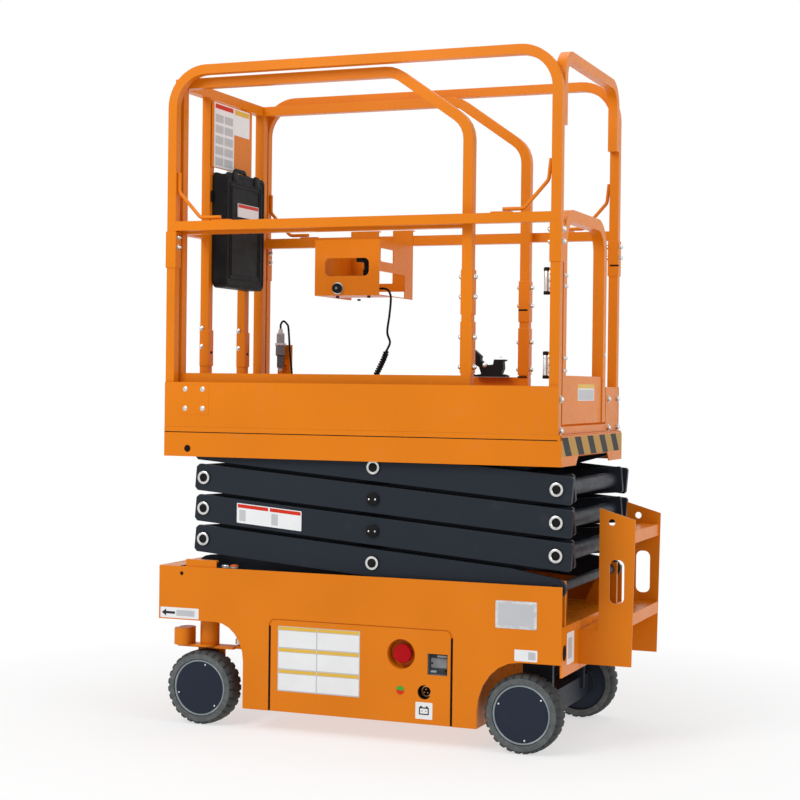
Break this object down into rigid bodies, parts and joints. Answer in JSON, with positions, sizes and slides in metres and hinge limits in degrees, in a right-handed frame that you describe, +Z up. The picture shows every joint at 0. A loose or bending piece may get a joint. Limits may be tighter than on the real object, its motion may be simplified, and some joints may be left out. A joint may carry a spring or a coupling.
{
  "type": "scissor lift",
  "caption": "Self-propelled electric scissor lift with a guarded platform, a roll-out deck extension, folded scissor arms, a box chassis with steered front wheels and a rear ladder.",
  "frame": {"origin": "On the floor, under the middle of the machine's bounding box.", "axes": "+Z up, +X towards the ladder, -Y is the side with the charger socket."},
  "size_m": [1.598, 0.76, 2.226],
  "materials": {
    "orange_paint": "glossy powder coat",
    "charcoal_paint": "semi-gloss paint",
    "black_plastic": "moulded black plastic",
    "bright_steel": "ground steel",
    "signal_red": "glossy red",
    "grey_plastic": "moulded grey plastic",
    "tyre": "grey non-marking rubber",
    "hub_paint": "satin navy paint",
    "sheet_aluminium": "satin sheet"
  },
  "bodies": {
    "chassis": {"chassis_tub": "orange_paint", "near_side_plate": "orange_paint", "far_side_plate": "orange_paint", "battery_pack": "black_plastic", "ladder": "orange_paint", "rear_axle": "charcoal_paint", "front_axle": "orange_paint"},
    "near_door": {"near_tray_door": "orange_paint", "stop_recess": "orange_paint", "stop_button": "signal_red", "charger_socket": "black_plastic", "charge_display": "grey_plastic"},
    "far_door": {"far_tray_door": "orange_paint"},
    "near_knuckle": {"near_knuckle": "orange_paint"},
    "far_knuckle": {"far_knuckle": "orange_paint"},
    "tie_rod": {"tie_rod": "bright_steel"},
    "near_rear_wheel": {"near_rear_tyre": "tyre", "near_rear_hub": "hub_paint"},
    "far_rear_wheel": {"far_rear_tyre": "tyre", "far_rear_hub": "hub_paint"},
    "near_front_wheel": {"near_front_tyre": "tyre", "near_front_hub": "hub_paint"},
    "far_front_wheel": {"far_front_tyre": "tyre", "far_front_hub": "hub_paint"},
    "outer_1": {"outer_arms_1": "charcoal_paint"},
    "inner_1": {"inner_arms_1": "charcoal_paint"},
    "outer_2": {"outer_arms_2": "charcoal_paint"},
    "inner_2": {"inner_arms_2": "charcoal_paint"},
    "outer_3": {"outer_arms_3": "charcoal_paint"},
    "inner_3": {"inner_arms_3": "charcoal_paint"},
    "outer_4": {"outer_arms_4": "charcoal_paint"},
    "inner_4": {"inner_arms_4": "charcoal_paint"},
    "barrel": {"lift_cylinder_barrel": "black_plastic"},
    "rod": {"lift_cylinder_rod": "bright_steel"},
    "platform": {"main_deck": "orange_paint", "rear_end_plate": "orange_paint", "near_toe_board": "orange_paint", "far_toe_board": "orange_paint", "near_guardrail": "orange_paint", "far_guardrail": "orange_paint", "rear_hoop": "orange_paint", "rear_kick_plate": "orange_paint"},
    "gate": {"rear_gate": "orange_paint"},
    "extension": {"extension_deck": "orange_paint", "near_extension_rail": "orange_paint", "far_extension_rail": "orange_paint", "front_extension_rail": "orange_paint", "info_plate": "sheet_aluminium", "document_case": "black_plastic", "control_bracket": "orange_paint", "control_knob": "black_plastic", "hand_control": "black_plastic", "cord_upper": "black_plastic", "cord_coil": "black_plastic", "cord_lower": "black_plastic", "control_connector": "grey_plastic", "foot_pedal": "black_plastic"}
  },
  "joints": [
    {"name": "lift", "type": "hinge", "parent": "chassis", "child": "outer_1", "pos_m": [0.591, 0, 0.5235], "axis": [0, 1, 0], "range_deg": [0, 47]},
    {"name": "cross_1", "type": "hinge", "parent": "outer_1", "child": "inner_1", "pos_m": [-0.0265, 0, 0.57525], "axis": [0, 1, 0], "range_deg": [-94, 0]},
    {"name": "stage_2", "type": "hinge", "parent": "inner_1", "child": "outer_2", "pos_m": [0.591, 0, 0.627], "axis": [0, 1, 0], "range_deg": [0, 94]},
    {"name": "cross_2", "type": "hinge", "parent": "outer_2", "child": "inner_2", "pos_m": [-0.0265, 0, 0.67875], "axis": [0, 1, 0], "range_deg": [-94, 0]},
    {"name": "stage_3", "type": "hinge", "parent": "inner_2", "child": "outer_3", "pos_m": [0.591, 0, 0.7305], "axis": [0, 1, 0], "range_deg": [0, 94]},
    {"name": "cross_3", "type": "hinge", "parent": "outer_3", "child": "inner_3", "pos_m": [-0.0265, 0, 0.78225], "axis": [0, 1, 0], "range_deg": [-94, 0]},
    {"name": "stage_4", "type": "hinge", "parent": "inner_3", "child": "outer_4", "pos_m": [0.591, 0, 0.834], "axis": [0, 1, 0], "range_deg": [0, 94]},
    {"name": "cross_4", "type": "hinge", "parent": "outer_4", "child": "inner_4", "pos_m": [-0.0265, 0, 0.88575], "axis": [0, 1, 0], "range_deg": [-94, 0]},
    {"name": "platform_level", "type": "hinge", "parent": "inner_4", "child": "platform", "pos_m": [0.591, 0, 0.9375], "axis": [0, 1, 0], "range_deg": [0, 47]},
    {"name": "barrel_pivot", "type": "hinge", "parent": "chassis", "child": "barrel", "pos_m": [0.489, 0, 0.4691], "axis": [0, 1, 0], "range_deg": [0, 50.26]},
    {"name": "rod_slide", "type": "slide", "parent": "barrel", "child": "rod", "axis": [-0.9714, 0, 0.2375], "range_m": [0, 0.12322]},
    {"name": "steer_near", "type": "hinge", "parent": "chassis", "child": "near_knuckle", "pos_m": [-0.645, -0.3, 0.125], "axis": [0, 0, 1], "range_deg": [-60, 60]},
    {"name": "steer_far", "type": "hinge", "parent": "chassis", "child": "far_knuckle", "pos_m": [-0.645, 0.3, 0.125], "axis": [0, 0, 1], "range_deg": [-60, 60]},
    {"name": "tie_rod_pin", "type": "hinge", "parent": "near_knuckle", "child": "tie_rod", "pos_m": [-0.533, -0.3, 0.279], "axis": [0, 0, 1], "range_deg": [-60, 60]},
    {"name": "near_rear_wheel_spin", "type": "hinge", "parent": "chassis", "child": "near_rear_wheel", "pos_m": [0.489, -0.335, 0.125], "axis": [0, 1, 0], "continuous": true},
    {"name": "far_rear_wheel_spin", "type": "hinge", "parent": "chassis", "child": "far_rear_wheel", "pos_m": [0.489, 0.335, 0.125], "axis": [0, 1, 0], "continuous": true},
    {"name": "near_front_wheel_spin", "type": "hinge", "parent": "near_knuckle", "child": "near_front_wheel", "pos_m": [-0.645, -0.335, 0.125], "axis": [0, 1, 0], "continuous": true},
    {"name": "far_front_wheel_spin", "type": "hinge", "parent": "far_knuckle", "child": "far_front_wheel", "pos_m": [-0.645, 0.335, 0.125], "axis": [0, 1, 0], "continuous": true},
    {"name": "near_door_hinge", "type": "hinge", "parent": "chassis", "child": "near_door", "pos_m": [-0.377, -0.38, 0.226], "axis": [0, 0, -1], "range_deg": [0, 95]},
    {"name": "far_door_hinge", "type": "hinge", "parent": "chassis", "child": "far_door", "pos_m": [-0.377, 0.38, 0.226], "axis": [0, 0, 1], "range_deg": [0, 95]},
    {"name": "gate_hinge", "type": "hinge", "parent": "platform", "child": "gate", "pos_m": [0.55, -0.337, 1.38], "axis": [0, 0, 1], "range_deg": [0, 75]},
    {"name": "extension_slide", "type": "slide", "parent": "platform", "child": "extension", "axis": [-1, 0, 0], "range_m": [0, 0.6]}
  ],
  "couplings": [
    {"joint": "cross_1", "follows": "lift", "ratio": -2},
    {"joint": "stage_2", "follows": "lift", "ratio": 2},
    {"joint": "cross_2", "follows": "lift", "ratio": -2},
    {"joint": "stage_3", "follows": "lift", "ratio": 2},
    {"joint": "cross_3", "follows": "lift", "ratio": -2},
    {"joint": "stage_4", "follows": "lift", "ratio": 2},
    {"joint": "cross_4", "follows": "lift", "ratio": -2},
    {"joint": "platform_level", "follows": "lift", "ratio": 1},
    {"joint": "barrel_pivot", "follows": "lift", "ratio": 1.0691},
    {"joint": "rod_slide", "follows": "lift", "m_per_rad": 0.1502},
    {"joint": "steer_far", "follows": "steer_near", "ratio": 1},
    {"joint": "tie_rod_pin", "follows": "steer_near", "ratio": -1}
  ]
}
